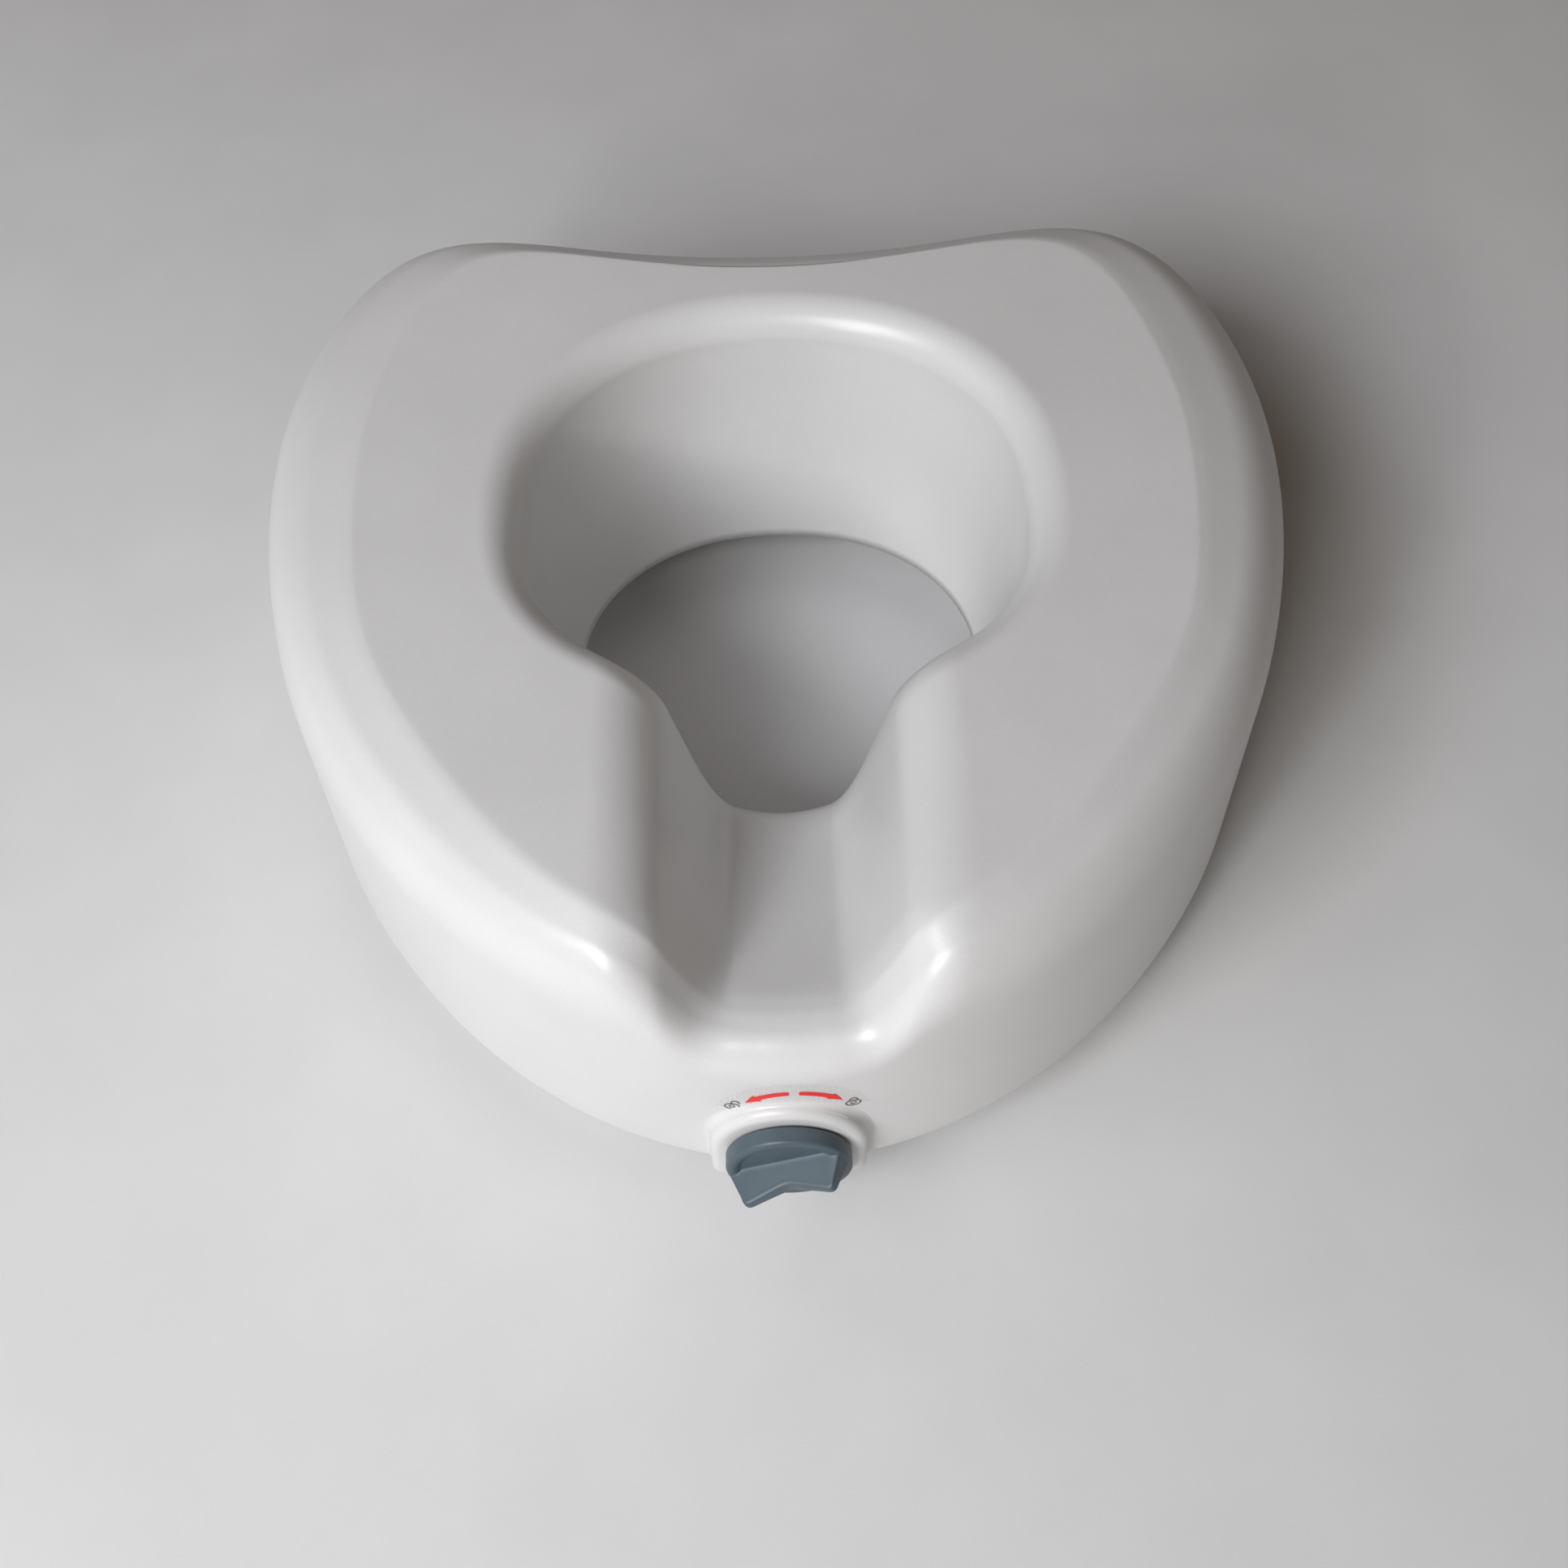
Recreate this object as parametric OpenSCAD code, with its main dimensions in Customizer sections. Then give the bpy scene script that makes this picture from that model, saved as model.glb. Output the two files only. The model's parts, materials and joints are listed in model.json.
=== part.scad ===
// Raised toilet seat with a front screw clamp.
// It rests on a toilet bowl's rim. Turning the front knob clockwise draws a jaw towards the front,
// so the jaw and two rear flanges grip the inside of the rim.
// X points to the seated person's left as seen from the front (right in the front view), -Y is the
// front with the knob, +Z is up. The origin is the centre of the footprint, level with the lowest
// point of the jaw and the flanges. Millimetres.

/* [Seat] */
// Width over the seat
seat_w = 420; // [400:5:440]
// Height of the seating surface above the underside
rise = 127; // [115:1:135]
// Wall thickness of the moulded shell
wall = 3; // [2.5:0.1:3.5]
// How far the jaw and the flanges reach below the underside
grip_depth = 28; // [24:1:34]
// Height of the vertical wall, below the rolled edge
wall_h = 92; // [80:1:96]
// Height taken by the sloping band between the rolled edge and the seating surface
band_drop = 4.6; // [2:0.2:6]
// Share of the edge's width that is rolled, the rest being the sloping band
roll_share = 0.58; // [0.5:0.01:0.7]

/* [Opening] */
// Width and height of the rounded lip round the opening
lip_r = 15.5; // [12:0.5:18]
// How much narrower the opening is at the underside than at the lip, each side
throat_inset = 11; // [6:0.5:14]

/* [Front channel] */
// Half the channel's width at the seating surface
channel_crest = 68; // [60:1:72]
// Radius of the crest between the seating surface and the channel's sides
crest_r = 26; // [15:1:30]
// Slope of the channel's sides in degrees
channel_wall = 75; // [65:1:80]
// Height of the channel's floor where it meets the opening
channel_floor = 47; // [44:1:52]
// Rise of the floor per millimetre towards the front
channel_rise = 0.38; // [0.2:0.02:0.4]
// How much lower the front edge is in the middle
dip = 32; // [20:1:40]
// Half the width of the dip in the front edge
dip_half = 63; // [55:1:80]

/* [Knob] */
// Height of the knob's axis above the underside
knob_z = 23; // [22:0.5:25]
// Radius of the knob
knob_r = 23.5; // [22:0.5:25]
// Thickness of the knob's disc
knob_disc = 7; // [5:0.5:8]
// How far the tips of the knob's wing stand in front of its back face
knob_len = 19; // [17:0.5:22]
// Turn of the wing from level at rest
wing_angle = 24; // [0:1:90]
// Outer radius of the arched collar behind the knob
collar_r = 29.5; // [28:0.5:32]

/* [Clamp] */
// Radius of the spindle's journal and thread
spindle_r = 7; // [6:0.5:7]
// Depth of the spindle's thread
thread_depth = 1.4; // [1:0.1:1.6]
// Pitch of the spindle's thread
pitch = 4; // [3:0.5:5]
// Travel of the jaw
jaw_travel = 25; // [20:1:25]
// Radial clearance of a turning or sliding round fit
run_gap = 0.05; // [0.02:0.01:0.09]

/* [Rear flanges] */
// Distance of each flange's middle from the centre plane
flange_x = 60; // [50:1:65]
// Width of each flange
flange_w = 54; // [40:1:56]
// Thickness of each flange
flange_t = 6; // [5:0.5:7]
// Thickness of the rubber pads that rest on and grip the rim
pad_t = 2.5; // [2:0.5:3]

/* [Hidden] */
$fn = 64;

white = "whitesmoke";
plastic = "gainsboro";
steel = "silver";
brass = "darkgoldenrod";
rubber = "dimgray";

// Control points of the closed plan curves, front to rear on one side. The other side mirrors them.
// Each curve is a uniform cubic B-spline, drawn for a seat 420 wide.
plan_w = 420;
outline_pts = [[0, -272], [99, -237], [168, -160], [199, -86], [214, -2], [206, 77], [169, 151],
    [84, 129], [0, 121]];
crease_pts = [[0, -247], [79, -220], [140, -138], [164, -88], [171, -2], [163, 50], [138, 125],
    [66, 106], [0, 98]];
opening_pts = [[0, -136], [38, -117], [76, -101], [101, -68], [102, -20], [96, 14], [74, 46],
    [38, 66], [0, 70]];
half_count = 8;

// The footprint runs from the knob's tips to the rear lobes, so its middle is behind the knob.
front_y = nose_y(outline_pts);
collar_front = front_y - 4.7;
knob_back = collar_front - 1;
rear_y = 139;
centre_y = (rear_y + knob_back - knob_len) / 2;
// Radius of the outline at its nose, from its first two control points
nose_r = pow(outline_pts[1][0], 2) / (outline_pts[1][1] - outline_pts[0][1]) / 2;

// Number of sections round the seat and how much closer together they are at the front
rings = 92;
front_bias = 0.45;

// The clamp's bay in the underside
bay_half = 36;
bay_front = -246;
bay_rear = -148;
bay_top = 42;
skin = 2;

// The clamp's pieces along the spindle
journal_in = 4.5;
tang_in = 12;
tang_r = 3;
bush_r = 10.8;
bush_end = -243;
washer_t = 1.5;
clip_t = 1.2;
thread_front = -236;
thread_rear = -160;
tail_r = 4.5;
tail_end = -149;
frame_front = -238;
frame_rear = -150;
frame_half = 34;
rail_inner = 22.4;
groove_half = 26.4;
groove_h = 8.6;
frame_floor = 5.6;
frame_top = bay_top - 0.2;
end_wall = 6;
carriage = [44, 20, 30];
carriage_y = -168;
carriage_floor = 6;
web_y = -166;
web_t = 8;
web_half = 20;
nut_flats = 20;
nut_t = 8;
screw_x = 30;
screw_front = -232;
screw_rear = -155;
screw_r = 2;
head_r = 3.8;
head_t = 2.2;

// The rear flanges: the web's rear face and the foot that is let into the underside
web_front_y = 82;
foot_y = [79, 115];
foot_t = 3.8;
pocket_gap = 1;
flange_screw_y = 104;
flange_screw_dx = 15;

// The plug of the blow hole, at the rear of the underside
vent_y = 104;
vent_r = 6;

// Rim pads: place and turn of the front and the rear pair
rim_pad_size = [56, 24];
front_pad_at = [116, -128];
front_pad_turn = 56;
rear_pad_at = [146, 20];
rear_pad_turn = 96;

module place() translate([0, -centre_y, grip_depth]) children();

// Closed list of control points from one side's points
function closed(pts) = concat(pts, [for (i = [half_count - 1:-1:1]) [-pts[i][0], pts[i][1]]]);

// Point of a closed uniform cubic B-spline at parameter t
function spline(p, t) =
    let (n = len(p), i = floor(t), f = t - i,
        a = p[(i + n - 1) % n], b = p[i % n], c = p[(i + 1) % n], d = p[(i + 2) % n])
    (pow(1 - f, 3) * a + (3 * pow(f, 3) - 6 * f * f + 4) * b
        + (3 * f * f - 3 * pow(f, 3) + 3 * f + 1) * c + pow(f, 3) * d) * seat_w / plan_w / 6;
function nose_y(pts) = (2 * pts[1][1] + 4 * pts[0][1]) * seat_w / plan_w / 6;

// Parameters of the sections, closer together near the front
section_t = [for (k = [0:rings - 1])
    let (u = k / rings) 2 * half_count * (u - front_bias * sin(360 * u) / (2 * PI))];
function unit(v) = v / norm(v);
function outward(p, t) = let (d = spline(p, t + 0.01) - spline(p, t + 2 * half_count - 0.01))
    unit([d[1], -d[0]]);
function smooth(x) = let (c = min(1, max(0, x))) c * c * (3 - 2 * c);

// The positive part of a, rounded over r
function soft_part(a, r) = (a + norm([a, r])) / 2;

// Share of the channel's depth over a distance from the centre plane: a rounded crest, a straight wall,
// then a rounded foot
channel_foot = 30;
function channel_share(x) =
    let (reach = crest_r * sin(channel_wall), inward = max(channel_crest - abs(x), 0),
        crest = crest_r - sqrt(crest_r * crest_r - pow(min(inward, reach), 2)),
        drop = crest + max(inward - reach, 0) * tan(channel_wall), full = rise - channel_floor,
        near = max(channel_foot - abs(drop - full), 0))
    (min(drop, full) - near * near / (4 * channel_foot)) / full;

// Height of the seat's top over a point. The dip deepens towards the front edge. The channel's floor
// rises to the front edge, and the channel fades out behind the front of the opening.
dip_flat = 8;
dip_start = -218;
dip_run = 30;
channel_ref = -134;
channel_ease = 20;
channel_lip = 6;
channel_start = -50;
channel_run = 40;
function top_height(x, y) =
    let (across = 1 - smooth((abs(x) - dip_flat) / (dip_half - dip_flat)),
        dipped = rise - dip * across * smooth((dip_start - y) / dip_run),
        floor_z = channel_floor + channel_rise * soft_part(channel_ref - y, channel_ease),
        depth = soft_part(dipped - floor_z, channel_lip))
    dipped - depth * channel_share(x) * smooth((channel_start - y) / channel_run);

// One section of the skin, from the outer bottom edge over the top to the opening's bottom edge
roll_steps = 6;
deck_steps = 9;
lip_steps = 4;
function section(t) =
    let (o = closed(outline_pts), c = closed(crease_pts), h = closed(opening_pts),
        po = spline(o, t), pc = spline(c, t), ph = spline(h, t), nh = outward(h, t),
        pl = ph + lip_r * nh, edge = po + (pc - po) * roll_share,
        roll_h = rise - band_drop - wall_h)
    concat(
        [for (z = [0, wall_h / 2]) [po[0], po[1], z]],
        [for (k = [0:roll_steps]) let (a = 90 * k / roll_steps, q = po + (edge - po) * (1 - cos(a)))
            [q[0], q[1], wall_h + roll_h * sin(a)]],
        [for (k = [0:deck_steps]) let (q = pc + (pl - pc) * k / deck_steps) [q[0], q[1], rise]],
        [for (k = [1:lip_steps]) let (a = 90 * k / lip_steps, q = pl - lip_r * nh * sin(a))
            [q[0], q[1], rise - lip_r * (1 - cos(a))]],
        [for (k = [1:2]) let (q = ph - throat_inset * nh * k / 2) [q[0], q[1], (rise - lip_r) * (1 - k / 2)]]);
function lowered(p) = [p[0], p[1], p[2] * top_height(p[0], p[1]) / rise];

outer_skin = [for (t = section_t) [for (p = section(t)) lowered(p)]];
stations = len(outer_skin[0]);

// The inner skin lies one wall thickness inside the outer one
function skin_normal(i, j) =
    let (next = outer_skin[(i + 1) % rings][j], last = outer_skin[(i + rings - 1) % rings][j],
        up = outer_skin[i][min(j + 1, stations - 1)], down = outer_skin[i][max(j - 1, 0)])
    unit(cross(next - last, up - down));
inner_skin = [for (i = [0:rings - 1]) [for (j = [0:stations - 1])
    let (p = outer_skin[i][j], q = p - wall * skin_normal(i, j))
    j == 0 || j == stations - 1 ? [q[0], q[1], 0] : q]];

module skin_tube() {
    loop = 2 * stations;
    points = [for (i = [0:rings - 1]) each concat(outer_skin[i],
        [for (j = [stations - 1:-1:0]) inner_skin[i][j]])];
    faces = [for (i = [0:rings - 1]) for (j = [0:loop - 1])
        let (a = i * loop + j, b = i * loop + (j + 1) % loop,
            c = ((i + 1) % rings) * loop + (j + 1) % loop, d = ((i + 1) % rings) * loop + j)
        each [[a, b, c], [a, c, d]]];
    polyhedron(points, faces, convexity = 8);
}

// Cylinder along Y from one place to another, on the knob's axis
module along_y(r, from, to) translate([0, from, knob_z]) rotate([-90, 0, 0]) cylinder(r = r, h = to - from);
module block(from, to) translate(from) cube(to - from);
module at_screws(x, ys) for (sx = [-1, 1]) for (y = ys) translate([sx * x, y, 0]) children();

module seat_shell() {
    color(white) place() difference() {
        skin_tube();
        along_y(bush_r + 0.2, front_y - 5, front_y + 12);
    }
}

// Outline of the underside between the shell's walls
module pan_plan() {
    gap = wall + 0.3;
    throat_gap = wall + 1.4;
    difference() {
        polygon([for (t = section_t) spline(closed(outline_pts), t) - gap * outward(closed(outline_pts), t)]);
        polygon([for (t = section_t) spline(closed(opening_pts), t)
            + (throat_gap - throat_inset) * outward(closed(opening_pts), t)]);
    }
}

module flange_pocket(grow, top) {
    half = flange_w / 2 + pocket_gap + grow;
    for (sx = [-1, 1]) block([sx * flange_x - half, foot_y[0] - pocket_gap - grow, -1],
        [sx * flange_x + half, foot_y[1] + pocket_gap + grow, top]);
}

module base_pan() {
    pocket_top = foot_t + 0.4;
    boss_r = 6;
    color(white) place() difference() {
        union() {
            linear_extrude(wall) pan_plan();
            block([-bay_half - skin, bay_front - skin, 0], [bay_half + skin, bay_rear + skin, bay_top + skin]);
            at_screws(screw_x, [screw_front, screw_rear]) cylinder(r = 4.5, h = bay_top + 5.5);
            intersection() {
                flange_pocket(wall, pocket_top + wall);
                block([-200, 0, 0], [200, 200, 20]);
            }
            for (dx = [-1, 1]) at_screws(flange_x + dx * flange_screw_dx, [flange_screw_y])
                cylinder(r = boss_r, h = 17);
        }
        block([-bay_half, bay_front, -1], [bay_half, bay_rear, bay_top]);
        flange_pocket(0, pocket_top);
        along_y(bush_r + 0.2, bay_front - 10, bay_front + 1);
        at_screws(screw_x, [screw_front, screw_rear]) cylinder(r = screw_r + 0.05, h = bay_top + 5);
        for (dx = [-1, 1]) at_screws(flange_x + dx * flange_screw_dx, [flange_screw_y])
            cylinder(r = 4.05, h = 15.5);
        translate([0, vent_y, -1]) cylinder(r = vent_r + 0.2, h = wall + 2);
    }
}

module vent_plug() {
    color(white) place() translate([0, vent_y, 0.3]) {
        cylinder(r = vent_r, h = 6);
        translate([0, 0, wall]) cylinder(r = vent_r + 1.2, h = 1.6);
    }
}

// Flat-bottomed arch on the knob's axis
module arch(r, from, to) {
    translate([0, to, 0]) rotate([90, 0, 0]) linear_extrude(to - from) union() {
        translate([0, knob_z]) circle(r = r);
        translate([-r, knob_z - collar_r + 8]) square([2 * r, collar_r - 8]);
    }
}

module knob_collar() {
    edge = 2;
    color(white) place() difference() {
        union() {
            arch(collar_r, collar_front + edge, front_y + 8);
            arch(collar_r - edge * 0.4, collar_front + edge * 0.3, collar_front + edge);
            arch(collar_r - edge, collar_front, collar_front + edge * 0.3);
        }
        translate([0, front_y + nose_r, -10]) cylinder(r = nose_r + 0.3, h = 90, $fn = 256);
        along_y(bush_r + 0.2, collar_front - 1, front_y + 9);
        along_y(14.3, collar_front - 1, collar_front + 2.2);
        block([-40, front_y - 20, -20], [40, front_y + 20, 0.3]);
    }
}

module front_bush() {
    color(plastic) place() difference() {
        union() {
            along_y(bush_r, collar_front + 0.1, bush_end);
            along_y(14, collar_front + 0.1, collar_front + 2);
        }
        along_y(spindle_r + run_gap, collar_front - 1, bush_end + 1);
    }
}

module bush_nut() {
    color(plastic) place() difference() {
        along_y(15, front_y + wall + 1.3, front_y + wall + 7);
        along_y(bush_r + 0.05, front_y, front_y + 20);
    }
}

// Clear film with the turning arrows, on the front wall above the collar
module arrow_label() {
    film_r = 29.5;
    film_z = 16;
    film_low = 24;
    film_t = 0.2;
    color("ghostwhite", 0.5) place() intersection() {
        difference() {
            translate([0, front_y + nose_r, knob_z + film_low])
                cylinder(r = nose_r + 0.2 + film_t, h = 40, $fn = 256);
            translate([0, front_y + nose_r, knob_z]) cylinder(r = nose_r + 0.2, h = 80, $fn = 256);
        }
        difference() {
            translate([2, 0, film_z]) along_y(film_r, front_y - 2, front_y + 8);
            along_y(collar_r + 3, front_y - 3, front_y + 9);
        }
    }
}

// Turned shape on the knob's axis, from points of radius and place along Y
module turned(points) translate([0, 0, knob_z]) rotate([-90, 0, 0]) rotate_extrude() polygon(points);

// Disc with a scooped face and a tapered wing across it, notched in the middle
module knob() {
    disc_y = knob_back - knob_disc;
    tip_y = knob_back - knob_len;
    root_y = disc_y + 3;
    base_half = 5;
    crest_half = 2.4;
    tip_x = 18.5;
    notch = 4.7;
    scoop = 1.5;
    color("slategray") place() difference() {
        union() {
            turned([[0, knob_back], [knob_r, knob_back], [knob_r, disc_y + 1], [knob_r - 1, disc_y],
                [knob_r - 3, disc_y], [knob_r - 5, disc_y + scoop], [0, disc_y + scoop]]);
            translate([0, 0, knob_z]) rotate([0, -wing_angle, 0]) intersection() {
                rotate([0, 90, 0]) linear_extrude(2 * knob_r, center = true) polygon([
                    [-base_half, root_y], [-base_half, disc_y], [-crest_half, tip_y],
                    [crest_half, tip_y], [base_half, disc_y], [base_half, root_y]]);
                linear_extrude(3 * base_half, center = true) polygon([
                    [knob_r - 1, root_y], [knob_r - 1, disc_y], [tip_x, tip_y + 1.5], [tip_x - 2, tip_y],
                    [4, tip_y + notch - 0.5], [0, tip_y + notch], [-4, tip_y + notch - 0.5],
                    [2 - tip_x, tip_y], [-tip_x, tip_y + 1.5], [1 - knob_r, disc_y], [1 - knob_r, root_y]]);
            }
        }
        along_y(spindle_r + 0.1, knob_back - journal_in, knob_back + 1);
        along_y(tang_r + 0.1, knob_back - tang_in, knob_back);
    }
}

module clamp_spindle() {
    core_r = spindle_r - thread_depth;
    turns = floor((thread_rear - thread_front) / pitch);
    groove_y = bush_end + 0.3 + washer_t;
    color(steel) place() turned(concat(
        [[0, knob_back - tang_in + 0.2], [tang_r, knob_back - tang_in + 0.2],
            [tang_r, knob_back - journal_in + 0.2], [spindle_r, knob_back - journal_in + 0.2],
            [spindle_r, groove_y], [spindle_r - 1.5, groove_y],
            [spindle_r - 1.5, groove_y + clip_t + 0.2],
            [spindle_r, groove_y + clip_t + 0.2], [spindle_r, thread_front]],
        [for (k = [0:turns - 1]) each [
            [spindle_r, thread_front + (k + 0.2) * pitch], [core_r, thread_front + (k + 0.4) * pitch],
            [core_r, thread_front + (k + 0.7) * pitch], [spindle_r, thread_front + (k + 0.9) * pitch]]],
        [[spindle_r, thread_rear], [tail_r, thread_rear], [tail_r, tail_end], [0, tail_end]]));
}

module thrust_washer() {
    color(steel) place() difference() {
        along_y(10.5, bush_end + 0.3, bush_end + 0.25 + washer_t);
        along_y(spindle_r + 0.1, bush_end, bush_end + 5);
    }
}

module spindle_clip() {
    from = bush_end + 0.35 + washer_t;
    color(steel) place() difference() {
        along_y(9.5, from, from + clip_t);
        along_y(spindle_r - 1.4, from - 1, from + 5);
        block([-2.5, from - 1, knob_z - 20], [2.5, from + 5, knob_z]);
    }
}

module guide_frame() {
    groove_floor = knob_z - groove_h / 2;
    color(plastic) place() difference() {
        block([-frame_half, frame_front, frame_floor], [frame_half, frame_rear, frame_top]);
        block([-rail_inner, frame_front + 3, 0], [rail_inner, frame_rear - end_wall, frame_top - 3.5]);
        block([-groove_half, frame_front + 3, groove_floor],
            [groove_half, frame_rear - end_wall, groove_floor + groove_h]);
        along_y(11.5, frame_front - 1, frame_front + 4);
        along_y(7, frame_rear - end_wall - 1, frame_rear + 1);
        at_screws(screw_x, [screw_front, screw_rear]) cylinder(r = screw_r + 0.2, h = 60);
    }
}

module tail_bush() {
    color(brass) place() difference() {
        along_y(6.9, frame_rear - end_wall + 0.1, frame_rear + 0.8);
        along_y(tail_r + run_gap, frame_rear - 20, frame_rear + 5);
    }
}

module slot_plate() {
    travel_room = 0.8;
    color(plastic) place() difference() {
        block([-bay_half + 0.4, bay_front + 0.4, 0.3], [bay_half - 0.4, bay_rear - 0.4, 5.3]);
        block([-web_half - 0.6, web_y - web_t / 2 - jaw_travel - travel_room, -1],
            [web_half + 0.6, web_y + web_t / 2 + travel_room, 7]);
        at_screws(screw_x, [screw_front, screw_rear]) {
            cylinder(r = screw_r + 0.2, h = 10);
            translate([0, 0, -1]) cylinder(r = head_r + 0.4, h = 3.9);
        }
    }
}

// Pan-head screw pointing up, with a cross recess
module screw(length) {
    difference() {
        union() {
            cylinder(r = head_r, h = head_t);
            cylinder(r = screw_r, h = length);
        }
        for (turn = [0, 90]) rotate(turn) translate([-2.2, -0.5, -1]) cube([4.4, 1, 2.2]);
    }
}

module guide_screws() {
    color(steel) place() at_screws(screw_x, [screw_front, screw_rear]) translate([0, 0, 0.5]) screw(46);
}

module clamp_jaw() {
    tongue = [2 * groove_half - 1, carriage[1], groove_h - 0.8];
    foot_half = 24;
    nut_gap = 0.2;
    color(plastic) place() difference() {
        union() {
            translate([-carriage[0] / 2, carriage_y - carriage[1] / 2, carriage_floor]) cube(carriage);
            translate([-tongue[0] / 2, carriage_y - tongue[1] / 2, knob_z - tongue[2] / 2]) cube(tongue);
            block([-web_half, web_y - web_t / 2, -grip_depth], [web_half, web_y + web_t / 2, 10]);
            block([-foot_half, web_y - web_t / 2, -grip_depth], [foot_half, web_y + web_t / 2, -3]);
            for (x = [-16, 0, 16]) translate([x - 2, web_y + web_t / 2, -4]) rotate([0, 90, 0])
                linear_extrude(4) polygon([[0, -2], [0, 6], [grip_depth - 6, 1], [grip_depth - 6, -2]]);
        }
        along_y(spindle_r + 0.8, carriage_y - 20, carriage_y + 20);
        block([-nut_flats / 2 - nut_gap, carriage_y - nut_t / 2 - nut_gap, knob_z - nut_flats / 2 - nut_gap],
            [nut_flats / 2 + nut_gap, carriage_y + nut_t / 2 + nut_gap, 60]);
    }
}

module jaw_nut() {
    color(brass) place() difference() {
        block([-nut_flats / 2, carriage_y - nut_t / 2, knob_z - nut_flats / 2],
            [nut_flats / 2, carriage_y + nut_t / 2, knob_z + nut_flats / 2]);
        along_y(spindle_r + run_gap, carriage_y - 20, carriage_y + 20);
    }
}

// Ribbed rubber block: a slab with grooves across its face
module grip_slab(size, grooves) {
    difference() {
        cube(size);
        for (k = [1:grooves]) translate([-1, size[1] - 1, size[2] * k / (grooves + 1) - 1])
            cube([size[0] + 2, 2, 2]);
    }
}

module jaw_pad() {
    color(rubber) place() translate([22, web_y - web_t / 2, -grip_depth + 3]) rotate(180)
        grip_slab([44, pad_t, grip_depth - 7], 4);
}

module rear_flange(side) {
    x = side * flange_x;
    color(plastic) place() difference() {
        union() {
            block([x - flange_w / 2, foot_y[0], 0.3], [x + flange_w / 2, foot_y[1], foot_t]);
            block([x - flange_w / 2, web_front_y, -grip_depth], [x + flange_w / 2, web_front_y + flange_t, 1]);
        }
        for (dx = [-1, 1]) translate([x + dx * flange_screw_dx, flange_screw_y, -1]) {
            cylinder(r = screw_r + 0.2, h = 10);
            cylinder(r = head_r + 0.4, h = 3.8);
        }
    }
}
module rear_flange_left() rear_flange(-1);
module rear_flange_right() rear_flange(1);

module flange_pad(side) {
    color(rubber) place()
        translate([side * flange_x - flange_w / 2 + 2, web_front_y + flange_t, -grip_depth + 3])
        grip_slab([flange_w - 4, pad_t, grip_depth - 7], 4);
}
module flange_pad_left() flange_pad(-1);
module flange_pad_right() flange_pad(1);

module at_flange_screws() {
    for (dx = [-1, 1]) at_screws(flange_x + dx * flange_screw_dx, [flange_screw_y]) children();
}

module flange_screws() {
    color(steel) place() at_flange_screws() translate([0, 0, 0.4]) screw(13);
}

module flange_inserts() {
    color(brass) place() at_flange_screws() translate([0, 0, foot_t + 1]) difference() {
        cylinder(r = 4, h = 10);
        translate([0, 0, -1]) cylinder(r = screw_r + 0.05, h = 12);
    }
}

// Rubber pad under the seat with rounded ends and cross grooves
module rim_pad(at, turn) {
    half = rim_pad_size[0] / 2 - rim_pad_size[1] / 2;
    color(rubber) place() translate([at[0], at[1], -pad_t]) rotate(turn) difference() {
        union() {
            translate([-half, -rim_pad_size[1] / 2, 0]) cube([2 * half, rim_pad_size[1], pad_t]);
            for (sx = [-1, 1]) translate([sx * half, 0, 0]) cylinder(d = rim_pad_size[1], h = pad_t);
        }
        for (k = [-1.5:1:1.5]) translate([k * 10 - 1, -20, -1]) cube([2, 40, 1.8]);
    }
}
module rim_pad_front_left() rim_pad([-front_pad_at[0], front_pad_at[1]], 180 - front_pad_turn);
module rim_pad_front_right() rim_pad(front_pad_at, front_pad_turn);
module rim_pad_rear_left() rim_pad([-rear_pad_at[0], rear_pad_at[1]], 180 - rear_pad_turn);
module rim_pad_rear_right() rim_pad(rear_pad_at, rear_pad_turn);

seat_shell();
base_pan();
vent_plug();
knob_collar();
front_bush();
bush_nut();
arrow_label();
knob();
clamp_spindle();
thrust_washer();
spindle_clip();
guide_frame();
tail_bush();
slot_plate();
guide_screws();
clamp_jaw();
jaw_nut();
jaw_pad();
rear_flange_left();
rear_flange_right();
flange_pad_left();
flange_pad_right();
flange_screws();
flange_inserts();
rim_pad_front_left();
rim_pad_front_right();
rim_pad_rear_left();
rim_pad_rear_right();
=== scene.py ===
"""Looks for the raised toilet seat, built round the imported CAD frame.

Lengths in the shape functions are millimetres in the seat's own frame: x across, -y to the front,
z = 0 at the underside. to_row() turns them into metres in the CAD frame.
"""
import json
import math

import bmesh
import bpy
import numpy as np
from mathutils import Matrix, Vector


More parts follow.
